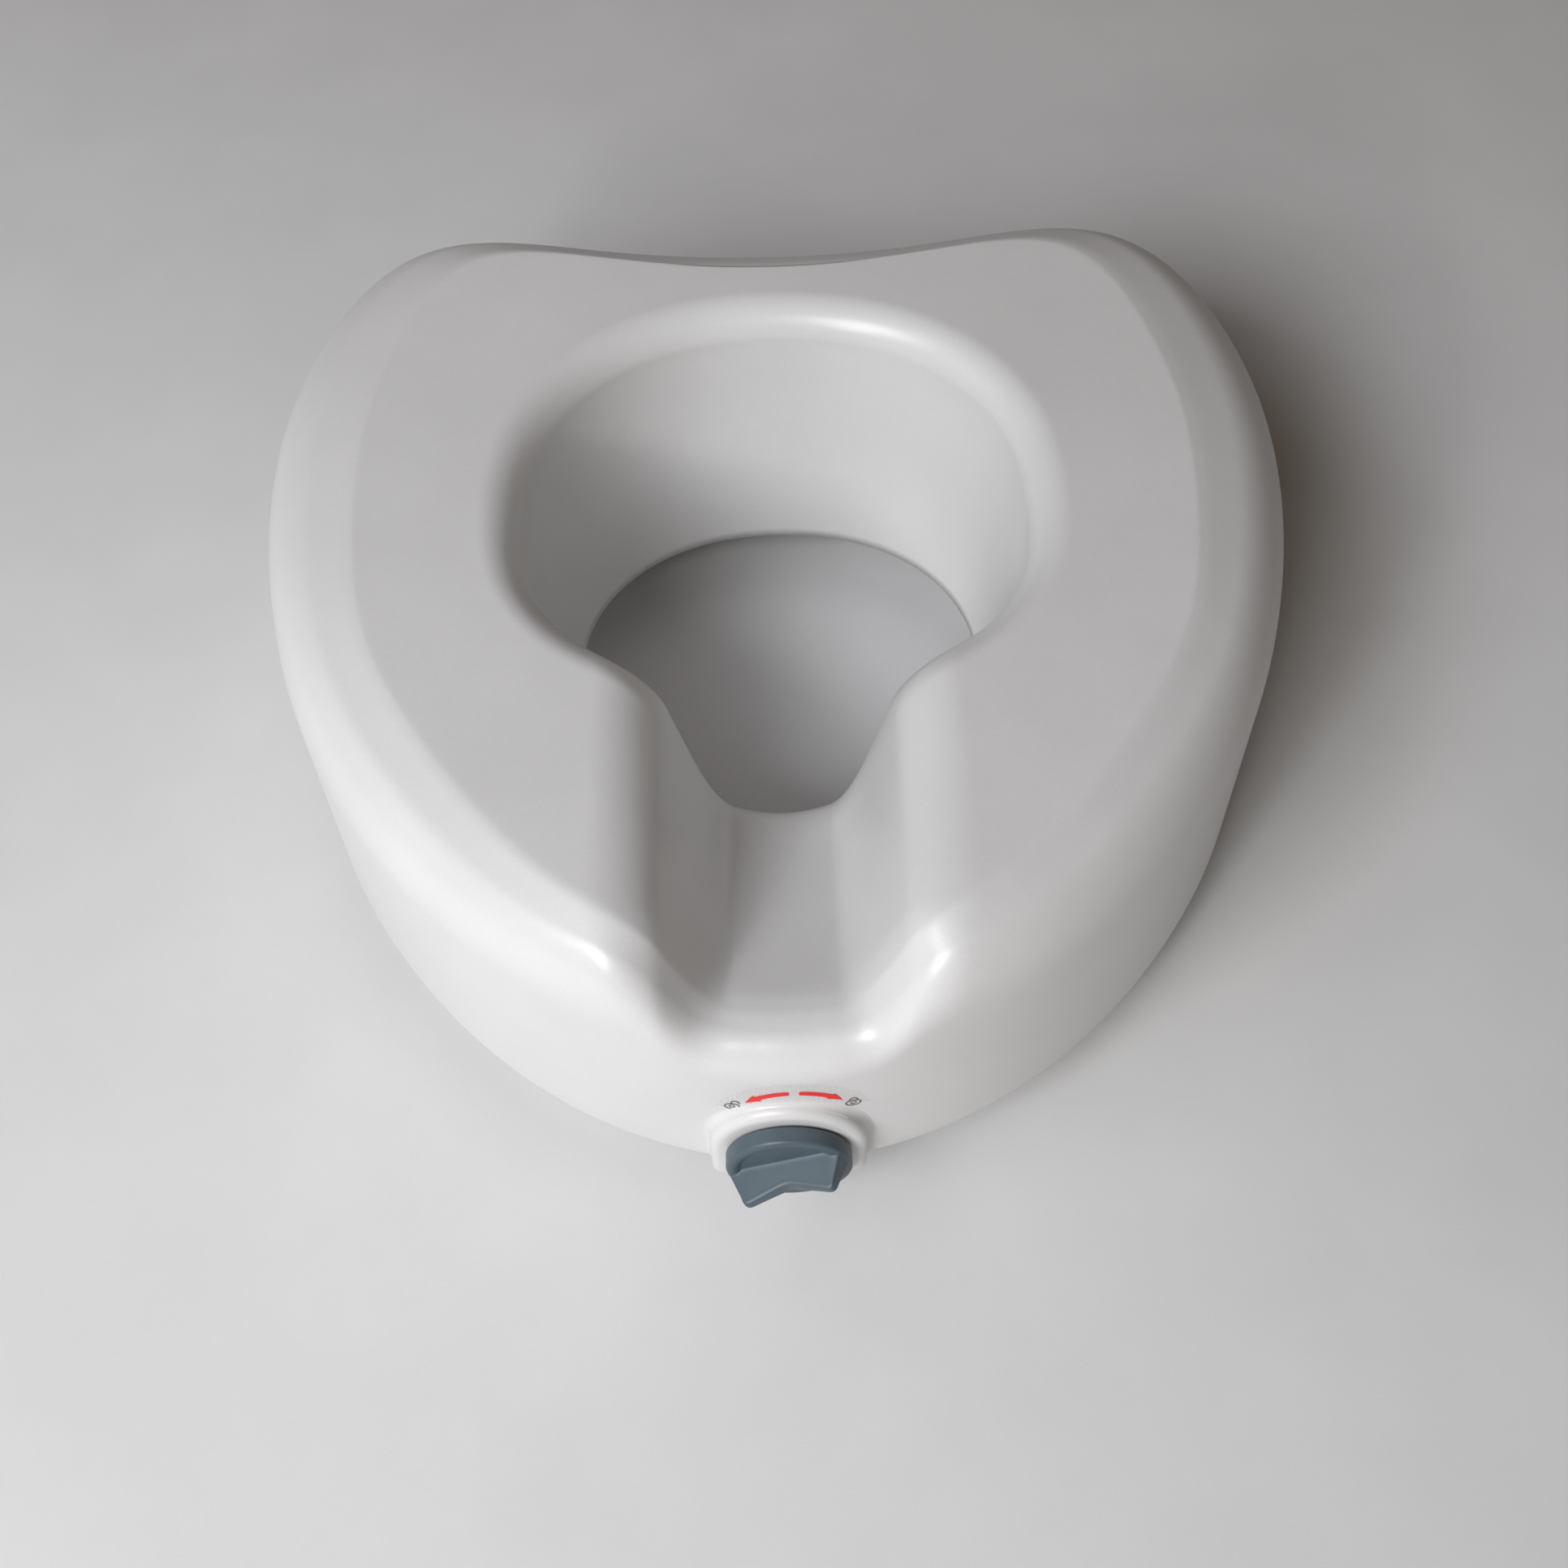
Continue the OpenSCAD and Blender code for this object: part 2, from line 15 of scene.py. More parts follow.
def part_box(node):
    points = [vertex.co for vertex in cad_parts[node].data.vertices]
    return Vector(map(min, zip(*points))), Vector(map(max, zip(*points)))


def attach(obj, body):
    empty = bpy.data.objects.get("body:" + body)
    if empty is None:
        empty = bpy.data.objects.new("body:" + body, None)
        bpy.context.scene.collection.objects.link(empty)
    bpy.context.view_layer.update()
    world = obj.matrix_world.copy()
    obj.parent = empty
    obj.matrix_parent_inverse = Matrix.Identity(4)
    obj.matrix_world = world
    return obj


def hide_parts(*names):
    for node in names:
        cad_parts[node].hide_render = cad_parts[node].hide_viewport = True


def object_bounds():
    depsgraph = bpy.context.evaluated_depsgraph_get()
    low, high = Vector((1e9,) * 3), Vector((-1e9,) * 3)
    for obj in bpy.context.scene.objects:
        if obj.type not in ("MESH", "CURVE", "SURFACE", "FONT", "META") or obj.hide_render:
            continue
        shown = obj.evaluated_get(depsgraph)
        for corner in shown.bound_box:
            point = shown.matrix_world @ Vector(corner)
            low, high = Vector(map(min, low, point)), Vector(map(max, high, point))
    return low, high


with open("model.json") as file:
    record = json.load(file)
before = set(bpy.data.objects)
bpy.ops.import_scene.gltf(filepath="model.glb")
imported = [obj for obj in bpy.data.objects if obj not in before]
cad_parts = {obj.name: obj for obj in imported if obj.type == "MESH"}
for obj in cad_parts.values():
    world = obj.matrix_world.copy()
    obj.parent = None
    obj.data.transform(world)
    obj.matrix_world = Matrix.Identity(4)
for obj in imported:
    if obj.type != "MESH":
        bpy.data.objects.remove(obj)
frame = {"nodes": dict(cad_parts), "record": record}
cad_low, cad_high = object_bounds()

# ---------------------------------------------------------------- the seat's driving dimensions, mm
RISE = 127.0
WALL = 3.0
WALL_H = 92.0
BAND_DROP = 4.6
ROLL_SHARE = 0.58
LIP_R = 15.5
THROAT_INSET = 11.0
HALF_COUNT = 8
OUTLINE = [(0, -272), (99, -237), (168, -160), (199, -86), (214, -2), (206, 77), (169, 151),
           (84, 129), (0, 121)]
CREASE = [(0, -247), (79, -220), (140, -138), (164, -88), (171, -2), (163, 50), (138, 125),
          (66, 106), (0, 98)]
OPENING = [(0, -136), (38, -117), (76, -101), (101, -68), (102, -20), (96, 14), (74, 46),
           (38, 66), (0, 70)]
CHANNEL_CREST = 68.0
CREST_R = 26.0
CHANNEL_WALL = 75.0
CHANNEL_FLOOR = 47.0
CHANNEL_RISE = 0.38
CHANNEL_REF = -134.0
CHANNEL_EASE = 20.0
CHANNEL_FOOT = 30.0
CHANNEL_LIP = 6.0
CHANNEL_START = -50.0
CHANNEL_RUN = 40.0
DIP = 32.0
DIP_HALF = 63.0
DIP_FLAT = 8.0
DIP_START = -218.0
DIP_RUN = 30.0

FRONT_Y = (2 * OUTLINE[1][1] + 4 * OUTLINE[0][1]) / 6

# The shell's box places the seat's own frame in the CAD frame
shell_low, shell_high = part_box("seat_shell")
MM = 0.001
ORIGIN = np.array([0.0, shell_low.y / MM - FRONT_Y, shell_low.z / MM])


def to_row(points):
    """Millimetres in the seat's own frame to metres in the CAD frame."""
    return (np.asarray(points, float) + ORIGIN) * MM


# ---------------------------------------------------------------- plan curves and surface heights
def closed(points):
    """Control points of both sides, from one side's."""
    half = np.array(points, float)
    other = half[1:-1][::-1] * [-1, 1]
    return np.concatenate([half, other])


def spline(points, t):
    """Point of a closed uniform cubic B-spline."""
    n = len(points)
    i = np.floor(t).astype(int)
    f = (t - i)[..., None]
    a, b, c, d = (points[(i + k) % n] for k in (-1, 0, 1, 2))
    return ((1 - f) ** 3 * a + (3 * f ** 3 - 6 * f ** 2 + 4) * b
            + (-3 * f ** 3 + 3 * f ** 2 + 3 * f + 1) * c + f ** 3 * d) / 6


def unit(v):
    return v / np.maximum(np.linalg.norm(v, axis=-1, keepdims=True), 1e-12)


def outward(points, t):
    d = spline(points, t + 0.01) - spline(points, t - 0.01)
    return unit(np.stack([d[..., 1], -d[..., 0]], -1))


def smooth(x):
    c = np.clip(x, 0, 1)
    return c * c * (3 - 2 * c)


def soft_part(a, r):
    """The positive part of a, rounded over r."""
    return (a + np.hypot(a, r)) / 2


def channel_share(x):
    """Share of the channel's depth: a rounded crest, a straight wall, then a rounded foot."""
    slope = math.radians(CHANNEL_WALL)
    reach = CREST_R * math.sin(slope)
    inward = np.maximum(CHANNEL_CREST - np.abs(x), 0)
    crest = CREST_R - np.sqrt(CREST_R ** 2 - np.minimum(inward, reach) ** 2)
    drop = crest + np.maximum(inward - reach, 0) * math.tan(slope)
    full = RISE - CHANNEL_FLOOR
    near = np.maximum(CHANNEL_FOOT - np.abs(drop - full), 0)
    return (np.minimum(drop, full) - near ** 2 / (4 * CHANNEL_FOOT)) / full


def top_height(x, y):
    """Height of the seat's top over a point."""
    across = 1 - smooth((np.abs(x) - DIP_FLAT) / (DIP_HALF - DIP_FLAT))
    dipped = RISE - DIP * across * smooth((DIP_START - y) / DIP_RUN)
    floor = CHANNEL_FLOOR + CHANNEL_RISE * soft_part(CHANNEL_REF - y, CHANNEL_EASE)
    depth = soft_part(dipped - floor, CHANNEL_LIP)
    return dipped - depth * channel_share(x) * smooth((CHANNEL_START - y) / CHANNEL_RUN)


# How strongly the sections crowd towards the front, 0 for even steps and 1 for the most
FRONT_BIAS = 0.45


def sections(rings):
    """Parameters of the sections round the seat, closer together near the front."""
    u = np.arange(rings) / rings
    return 2 * HALF_COUNT * (u - FRONT_BIAS * np.sin(2 * np.pi * u) / (2 * np.pi))


# How far the fine skin stays inside the CAD's faceted one
INSET = 0.2
# Stations of the skin: the bottom edge, the wall, the roll and the band; the next one is the crease
EDGE_STEPS, WALL_STEPS, ROLL_STEPS, BAND_STEPS = 7, 24, 25, 8
# Stations past the crease: the deck, the opening's lip and its throat
DECK_STEPS, LIP_STEPS, THROAT_STEPS = 60, 22, 24
CREASE_ROW = EDGE_STEPS + WALL_STEPS + ROLL_STEPS + BAND_STEPS - 1


def profile(t, edge_r=2.5):
    """Stations of the skin at parameters t, as a list of (plan points, height) pairs."""
    o, c, h = closed(OUTLINE), closed(CREASE), closed(OPENING)
    no, nh = outward(o, t), outward(h, t)
    po, pc, ph = spline(o, t) - INSET * no, spline(c, t), spline(h, t)
    pl = ph + LIP_R * nh
    edge = po + (pc - po) * ROLL_SHARE
    roll_h = RISE - BAND_DROP - WALL_H
    rows = []
    for a in np.linspace(0, 90, EDGE_STEPS):
        s = edge_r * (1 - math.sin(math.radians(a)))
        rows.append((po - no * s, edge_r * (1 - math.cos(math.radians(a)))))
    for z in np.linspace(edge_r, WALL_H, WALL_STEPS + 2)[1:-1]:
        rows.append((po, z))
    band_slope = BAND_DROP * ROLL_SHARE / (1 - ROLL_SHARE)
    corners = np.array([(0, 0), (0, 0.55 * roll_h), (0.55, roll_h - 0.45 * band_slope), (1, roll_h)])
    for k in np.linspace(0, 1, ROLL_STEPS):
        share, height = np.array([(1 - k) ** 3, 3 * k * (1 - k) ** 2, 3 * k * k * (1 - k), k ** 3]) @ corners
        rows.append((po + (edge - po) * share, WALL_H + height))
    for q in np.linspace(0, 1, BAND_STEPS + 1)[1:-1]:
        rows.append((edge + (pc - edge) * q, RISE - BAND_DROP * (1 - q)))
    for q in np.linspace(0, 1, DECK_STEPS):
        rows.append((pc + (pl - pc) * q, RISE))
    for a in np.linspace(0, 90, LIP_STEPS)[1:]:
        k = math.radians(a)
        rows.append((pl - LIP_R * nh * math.sin(k), RISE - LIP_R * (1 - math.cos(k))))
    for q in np.linspace(0, 1, THROAT_STEPS)[1:]:
        rows.append((ph - THROAT_INSET * nh * q, (RISE - LIP_R) * (1 - q)))
    return rows


def skin_points(rings):
    """Grid of the outer skin, rings by stations by 3."""
    t = sections(rings)
    rows = profile(t)
    grid = np.zeros((rings, len(rows), 3))
    for j, (plan, z) in enumerate(rows):
        grid[:, j, :2] = plan
        grid[:, j, 2] = z * top_height(plan[:, 0], plan[:, 1]) / RISE
    return soften_crease(grid)


def soften_crease(grid):
    """Rounds the crease between the deck and the band: a little all round, and widely in the channel."""
    for passes, reach, weight in ((3, 6, 1.0), (21, 7, channel_share(grid[..., 0]))):
        height = grid[..., 2].copy()
        for _ in range(passes):
            height[:, 1:-1] = (height[:, :-2] + 2 * height[:, 1:-1] + height[:, 2:]) / 4
        near = np.zeros(grid.shape[1])
        near[CREASE_ROW - reach:CREASE_ROW + reach + 1] = np.sin(np.linspace(0, math.pi, 2 * reach + 1))
        grid[..., 2] += (height - grid[..., 2]) * weight * near
    return grid


def grid_normals(grid):
    around = np.roll(grid, -1, 0) - np.roll(grid, 1, 0)
    along = np.gradient(grid, axis=1)
    return unit(np.cross(around, along))


# ---------------------------------------------------------------- mesh helpers
def make_object(name, points, faces, material, body, in_row=False):
    """A smooth-shaded mesh piece that rides on a CAD body."""
    co = np.asarray(points, float) if in_row else to_row(points)
    mesh = bpy.data.meshes.new(name)
    mesh.from_pydata(co.tolist(), [], [list(map(int, f)) for f in faces])
    mesh.validate()
    mesh.update()
    obj = bpy.data.objects.new(name, mesh)
    bpy.context.scene.collection.objects.link(obj)
    for polygon in mesh.polygons:
        polygon.use_smooth = True
    mesh.materials.append(material)
    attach(obj, body)
    return obj


def tube_faces(rings, loop):
    """Faces of a grid closed both ways, rings by loop points."""
    i, j = np.meshgrid(np.arange(rings), np.arange(loop), indexing="ij")
    a = i * loop + j
    b = i * loop + (j + 1) % loop
    c = ((i + 1) % rings) * loop + (j + 1) % loop
    d = ((i + 1) % rings) * loop + j
    return np.stack([a, b, c, d], -1).reshape(-1, 4)


# ---------------------------------------------------------------- materials
def new_material(name):
    material = bpy.data.materials.new(name)
    material.use_nodes = True
    tree = material.node_tree
    return material, tree, tree.nodes["Principled BSDF"]


def add(tree, kind, **values):
    node = tree.nodes.new(kind)
    for key, value in values.items():
        if key in node.inputs:
            node.inputs[key].default_value = value
        else:
            setattr(node, key, value)
    return node


def noise(tree, scale, detail=3.0, roughness=0.5):
    """Noise over the object's own coordinates, scale in features per metre."""
    coords = add(tree, "ShaderNodeTexCoord")
    node = add(tree, "ShaderNodeTexNoise", Scale=scale, Detail=detail, Roughness=roughness)
    tree.links.new(coords.outputs["Object"], node.inputs["Vector"])
    return node


def ramp(tree, source, stops):
    node = add(tree, "ShaderNodeValToRGB")
    elements = node.color_ramp.elements
    while len(elements) < len(stops):
        elements.new(0.5)
    for element, (place, colour) in zip(elements, stops):
        element.position = place
        element.color = (*colour, 1)
    tree.links.new(source, node.inputs["Fac"])
    return node


def plastic(name, dark, light, rough, bump, grain=900.0, mottle=14.0, sheen_bump=45.0, sss=0.0):
    """Moulded plastic: slow colour drift, fine grain, uneven gloss and a slight orange peel."""
    material, tree, shader = new_material(name)
    drift = noise(tree, mottle, 4.0, 0.55)
    fine = noise(tree, grain, 2.0, 0.6)
    mixed = add(tree, "ShaderNodeMath", operation="MULTIPLY_ADD")
    mixed.inputs[1].default_value = 0.35
    tree.links.new(fine.outputs["Fac"], mixed.inputs[0])
    scaled = add(tree, "ShaderNodeMath", operation="MULTIPLY")
    scaled.inputs[1].default_value = 0.65
    tree.links.new(drift.outputs["Fac"], scaled.inputs[0])
    tree.links.new(scaled.outputs[0], mixed.inputs[2])
    colour = ramp(tree, mixed.outputs[0], [(0.35, dark), (0.65, light)])
    tree.links.new(colour.outputs["Color"], shader.inputs["Base Color"])
    gloss = noise(tree, mottle * 3, 5.0, 0.6)
    rough_map = add(tree, "ShaderNodeMapRange")
    rough_map.inputs["To Min"].default_value = rough[0]
    rough_map.inputs["To Max"].default_value = rough[1]
    tree.links.new(gloss.outputs["Fac"], rough_map.inputs["Value"])
    tree.links.new(rough_map.outputs["Result"], shader.inputs["Roughness"])
    peel = noise(tree, sheen_bump, 2.0, 0.5)
    low = add(tree, "ShaderNodeBump", Strength=bump[0], Distance=0.0008)
    tree.links.new(peel.outputs["Fac"], low.inputs["Height"])
    high = add(tree, "ShaderNodeBump", Strength=bump[1], Distance=0.0001)
    tree.links.new(fine.outputs["Fac"], high.inputs["Height"])
    tree.links.new(low.outputs["Normal"], high.inputs["Normal"])
    tree.links.new(high.outputs["Normal"], shader.inputs["Normal"])
    shader.inputs["Subsurface Weight"].default_value = sss
    shader.inputs["Subsurface Radius"].default_value = (0.006, 0.005, 0.004)
    shader.inputs["Subsurface Scale"].default_value = 0.5
    return material


def metal(name, dark, light, rough, stretch):
    """Turned or plated metal: streaks along one axis and an uneven surface."""
    material, tree, shader = new_material(name)
    coords = add(tree, "ShaderNodeTexCoord")
    mapping = add(tree, "ShaderNodeMapping")
    mapping.inputs["Scale"].default_value = stretch
    streak = add(tree, "ShaderNodeTexNoise", Scale=400.0, Detail=3.0)
    tree.links.new(coords.outputs["Object"], mapping.inputs["Vector"])
    tree.links.new(mapping.outputs["Vector"], streak.inputs["Vector"])
    colour = ramp(tree, streak.outputs["Fac"], [(0.3, dark), (0.7, light)])
    tree.links.new(colour.outputs["Color"], shader.inputs["Base Color"])
    shader.inputs["Metallic"].default_value = 1.0
    rough_map = add(tree, "ShaderNodeMapRange")
    rough_map.inputs["To Min"].default_value = rough[0]
    rough_map.inputs["To Max"].default_value = rough[1]
    tree.links.new(streak.outputs["Fac"], rough_map.inputs["Value"])
    tree.links.new(rough_map.outputs["Result"], shader.inputs["Roughness"])
    bump = add(tree, "ShaderNodeBump", Strength=0.2, Distance=0.0001)
    tree.links.new(streak.outputs["Fac"], bump.inputs["Height"])
    tree.links.new(bump.outputs["Normal"], shader.inputs["Normal"])
    return material


WHITE = plastic("white_polyethylene", (0.72, 0.715, 0.71), (0.765, 0.76, 0.755), (0.27, 0.36),
                (0.16, 0.30), sss=0.05)
PAN = plastic("matt_white_polyethylene", (0.66, 0.65, 0.63), (0.74, 0.73, 0.71), (0.48, 0.60),
              (0.25, 0.30))
CLAMP = plastic("grey_acetal", (0.46, 0.46, 0.455), (0.55, 0.55, 0.54), (0.38, 0.50), (0.12, 0.35))
SLATE = plastic("slate_plastic", (0.070, 0.100, 0.122), (0.092, 0.128, 0.152), (0.36, 0.48),
                (0.10, 0.55), grain=2200.0, mottle=60.0)
RUBBER = plastic("black_rubber", (0.020, 0.020, 0.020), (0.040, 0.040, 0.039), (0.62, 0.80),
                 (0.30, 0.60), grain=1500.0)
STEEL = metal("zinc_steel", (0.42, 0.42, 0.41), (0.66, 0.66, 0.65), (0.22, 0.38), (1, 0.08, 1))
BRASS = metal("turned_brass", (0.50, 0.36, 0.15), (0.78, 0.60, 0.30), (0.22, 0.36), (1, 0.2, 1))
RED = plastic("red_print", (0.88, 0.010, 0.010), (0.98, 0.016, 0.012), (0.35, 0.45), (0.05, 0.15))
INK = plastic("grey_print", (0.07, 0.07, 0.07), (0.11, 0.11, 0.11), (0.40, 0.50), (0.05, 0.15))


def film_material():
    material, tree, shader = new_material("clear_film")
    wear = noise(tree, 300.0, 4.0)
    rough_map = add(tree, "ShaderNodeMapRange")
    rough_map.inputs["To Min"].default_value = 0.12
    rough_map.inputs["To Max"].default_value = 0.28
    tree.links.new(wear.outputs["Fac"], rough_map.inputs["Value"])
    tree.links.new(rough_map.outputs["Result"], shader.inputs["Roughness"])
    tint = ramp(tree, wear.outputs["Fac"], [(0.3, (0.80, 0.80, 0.78)), (0.7, (0.86, 0.86, 0.84))])
    tree.links.new(tint.outputs["Color"], shader.inputs["Base Color"])
    shader.inputs["Alpha"].default_value = 0.10
    return material


FILM = film_material()

SLOT_MATERIALS = {"shell_plastic": WHITE, "pan_plastic": PAN, "clamp_plastic": CLAMP,
                  "knob_plastic": SLATE, "steel": STEEL, "brass": BRASS, "rubber": RUBBER,
                  "label_film": FILM}

# Radius of the moulded edges of the carried-over CAD nodes, by how their names start
EDGE_ROUNDING = {"base_pan": 0.6, "guide_frame": 0.5, "slot_plate": 0.5, "clamp_jaw": 0.7, "jaw_pad": 0.3,
                 "rear_flange": 0.8, "flange_pad": 0.3, "rim_pad": 0.35, "vent_plug": 0.4}


def dress_cad_nodes():
    """Gives each carried-over CAD node its slot's material, and rounds its moulded edges."""
    for row in frame["record"]["subparts"]:
        node = row["node"]
        obj = frame["nodes"][node]
        obj.data.materials.clear()
        obj.data.materials.append(SLOT_MATERIALS[row["material_slot"]])
        radius = next((r for start, r in EDGE_ROUNDING.items() if node.startswith(start)), None)
        if radius:
            bevel = obj.modifiers.new("edges", "BEVEL")
            bevel.width = radius * MM
            bevel.segments = 2
            bevel.limit_method = "ANGLE"
            bevel.angle_limit = math.radians(40)


# ---------------------------------------------------------------- seat shell
def build_shell():
    """The moulded skin as one closed mesh with an outer and an inner face."""
    rings = 420
    outer = skin_points(rings)
    inner = outer - WALL * grid_normals(outer)
    stations = outer.shape[1]
    keep = [j for j in range(stations) if EDGE_STEPS < j < stations - 1]
    first, last = outer[:, 0].copy(), outer[:, -1].copy()
    o, h, t = closed(OUTLINE), closed(OPENING), sections(rings)
    first[:, :2] = spline(o, t) - (WALL + INSET) * outward(o, t)
    last[:, :2] = spline(h, t) - (THROAT_INSET - WALL) * outward(h, t)
    back = [first] + [inner[:, j] for j in keep] + [last]
    back[0][:, 2] = 0
    back[-1][:, 2] = 0
    loop = np.concatenate([outer] + [b[:, None] for b in back[::-1]], axis=1)
    faces = tube_faces(rings, loop.shape[1])
    shell = make_object("seat_shell_skin", loop.reshape(-1, 3), faces, WHITE, "seat")
    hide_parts("seat_shell")
    return shell


# ---------------------------------------------------------------- places on the front wall
WALL_T = np.mod(np.linspace(-2.2, 2.2, 441), 2 * HALF_COUNT)
WALL_CURVE = spline(closed(OUTLINE), WALL_T) - INSET * outward(closed(OUTLINE), WALL_T)


def wall_y(x):
    """Where the front wall's face is, over a distance from the centre plane."""
    return np.interp(x, WALL_CURVE[:, 0], WALL_CURVE[:, 1])


KNOB_Z = 23.0
COLLAR_FRONT = FRONT_Y - 4.7
KNOB_BACK = COLLAR_FRONT - 1.0


# ---------------------------------------------------------------- knob
def loft(sections_list):
    """Closed body from equal-sized closed sections, with flat ends."""
    count, n = len(sections_list), len(sections_list[0])
    points = np.concatenate(sections_list)
    faces = [(i * n + j, i * n + (j + 1) % n, (i + 1) * n + (j + 1) % n, (i + 1) * n + j)
             for i in range(count - 1) for j in range(n)]
    faces += [tuple(reversed(range(n))), tuple((count - 1) * n + j for j in range(n))]
    return points, faces


def turned_body(outline, around=128):
    """Closed body of revolution about y, from (radius, y) points that start and end on the axis."""
    inner = outline[1:-1]
    angle = np.arange(around) * 2 * np.pi / around
    rings = [np.stack([r * np.cos(angle), np.full(around, y), r * np.sin(angle)], -1) for r, y in inner]
    points = np.concatenate(rings + [[[0, outline[0][1], 0], [0, outline[-1][1], 0]]])
    n, m = around, len(inner)
    faces = [(i * n + j, (i + 1) * n + j, (i + 1) * n + (j + 1) % n, i * n + (j + 1) % n)
             for i in range(m - 1) for j in range(n)]
    faces += [(m * n, j, (j + 1) % n) for j in range(n)]
    faces += [(m * n + 1, (m - 1) * n + (j + 1) % n, (m - 1) * n + j) for j in range(n)]
    return points, faces


def arc_points(centre, radius, start, stop, steps):
    return [(centre[0] + radius * math.cos(math.radians(a)), centre[1] + radius * math.sin(math.radians(a)))
            for a in np.linspace(start, stop, steps)]


def build_knob():
    """Disc with a rounded rim and a scooped face, and a notched wing grown out of it."""
    radius, disc, length, notch, turn = 23.5, 7.0, 19.0, 4.7, math.radians(24)
    face = disc - 1.5
    rim = arc_points((radius - 1.6, disc - 1.6), 1.6, 0, 90, 7)
    scoop = [(radius - 3.2, disc), (radius - 4.2, disc - 0.35),
             (radius - 5.6, face + 0.1), (radius - 8, face)]
    front = [(0, 0), (7.2, 0), (21.5, 0), (radius - 0.4, 0.15), (radius, 0.7)] + rim + scoop + [(0, face)]
    disc_points, disc_faces = turned_body([(r, -h) for r, h in front])

    stations = []
    for u in np.linspace(-22.4, 22.4, 113):
        a = abs(u)
        crest = length - notch * (1 - min(1.0, math.hypot(a, 2.0) / 17.6)) * 1.12
        tip = 18.6
        if a > tip - 3.2:
            over = min(1.0, (a - tip + 3.2) / 3.2)
            crest -= 3.0 * (1 - math.sqrt(max(0.0, 1 - over ** 2)))
        if a > tip:
            crest = min(crest, length - 3.0 - (a - tip) * 2.4)
        crest = max(crest, disc - 3.5)
        root, top = 5.2, 5.2 - (5.2 - 2.3) * (crest - disc) / (length - disc)
        round_r = min(1.9, top)
        side = [(root + 1.6, 2.5), (root + 0.5, face), (root, face + 1.2)]
        side += [(root + (top - root) * k, face + 1.2 + (crest - round_r - face - 1.2) * k)
                 for k in (0.25, 0.5, 0.75)]
        bend = arc_points((top - round_r, crest - round_r), round_r, 0, 90, 6)
        half = side + bend
        ring = half + [(-v, h) for v, h in reversed(half)]
        stations.append(np.array([(u, -h, v) for v, h in ring]))
    wing_points, wing_faces = loft(stations)
    c, s = math.cos(turn), math.sin(turn)
    x, z = wing_points[:, 0].copy(), wing_points[:, 2].copy()
    wing_points[:, 0], wing_points[:, 2] = c * x - s * z, s * x + c * z

    points = np.concatenate([disc_points, wing_points]) + [0, KNOB_BACK, KNOB_Z]
    faces = disc_faces + [tuple(len(disc_points) + k for k in f) for f in wing_faces]
    knob = make_object("knob_body", points, faces, SLATE, "crank")
    merge = knob.modifiers.new("merge", "REMESH")
    merge.mode = "VOXEL"
    merge.voxel_size = 0.00032
    merge.use_smooth_shade = True
    relax = knob.modifiers.new("relax", "SMOOTH")
    relax.factor = 0.5
    relax.iterations = 8
    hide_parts("knob")


# ---------------------------------------------------------------- collar
def arch_outline(radius, corner, low, count=288):
    """Flat-bottomed arch round the knob's axis: (x, z) points, evenly spaced, from the bottom middle."""
    path = [(0.0, low)]
    path += [(radius - corner + corner * math.sin(a), low + corner - corner * math.cos(a))
             for a in np.linspace(0, math.pi / 2, 13)]
    path += [(radius * math.cos(a), KNOB_Z + radius * math.sin(a)) for a in np.linspace(0, math.pi / 2, 61)]
    right = np.array(path)
    both = np.concatenate([right, right[1:-1][::-1] * [-1, 1]])
    both = np.concatenate([both, both[:1]])
    steps = np.concatenate([[0], np.cumsum(np.linalg.norm(np.diff(both, axis=0), axis=1))])
    places = np.linspace(0, steps[-1], count, endpoint=False)
    return np.stack([np.interp(places, steps, both[:, k]) for k in (0, 1)], -1)


def build_collar():
    """Arched boss round the knob: rounded front edge, and a hollow that blends into the wall."""
    radius, low, hole = 29.3, 0.35, 14.3
    base = arch_outline(radius, 4.0, low)
    flat = arch_outline(radius - 4.0, 1.6, low + 3.2)
    wide = arch_outline(radius + 3.4, 3.0, low)
    centre = np.array([0, KNOB_Z])
    inner = centre + unit(flat - centre) * hole
    columns = []

    def row(plan, y):
        columns.append(np.stack([plan[:, 0], np.broadcast_to(y, len(plan)), plan[:, 1]], -1))

    row(inner, COLLAR_FRONT + 2.4)
    row(inner, COLLAR_FRONT + 0.5)
    row(centre + unit(flat - centre) * (hole + 0.5), COLLAR_FRONT)
    for k in np.linspace(0.25, 1, 4):
        row(inner + (flat - inner) * k, COLLAR_FRONT)
    for a in np.radians(np.linspace(9, 90, 10)):
        row(flat + (base - flat) * math.sin(a), COLLAR_FRONT + 3.4 * (1 - math.cos(a)))
    for a in np.radians(np.linspace(0, 90, 12)):
        plan = base + (wide - base) * (1 - math.cos(a))
        depth = (wall_y(plan[:, 0]) - COLLAR_FRONT - 3.4)
        start = np.maximum(depth - 3.2, 0.0)
        row(plan, COLLAR_FRONT + 3.4 + start + (depth - start + 0.12) * math.sin(a))
    back = base * 0.9 + centre * 0.1
    row(wide * 0.98 + centre * 0.02, wall_y(wide[:, 0]) + 0.7)
    row(back, wall_y(back[:, 0]) + 0.7)
    row(inner, wall_y(inner[:, 0]) + 0.7)
    grid = np.stack(columns, axis=1)
    grid[..., 2] = np.maximum(grid[..., 2], low - 0.05)
    faces = tube_faces(len(base), grid.shape[1])
    collar = make_object("collar_skin", grid.reshape(-1, 3), faces, WHITE, "seat")
    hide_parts("knob_collar")


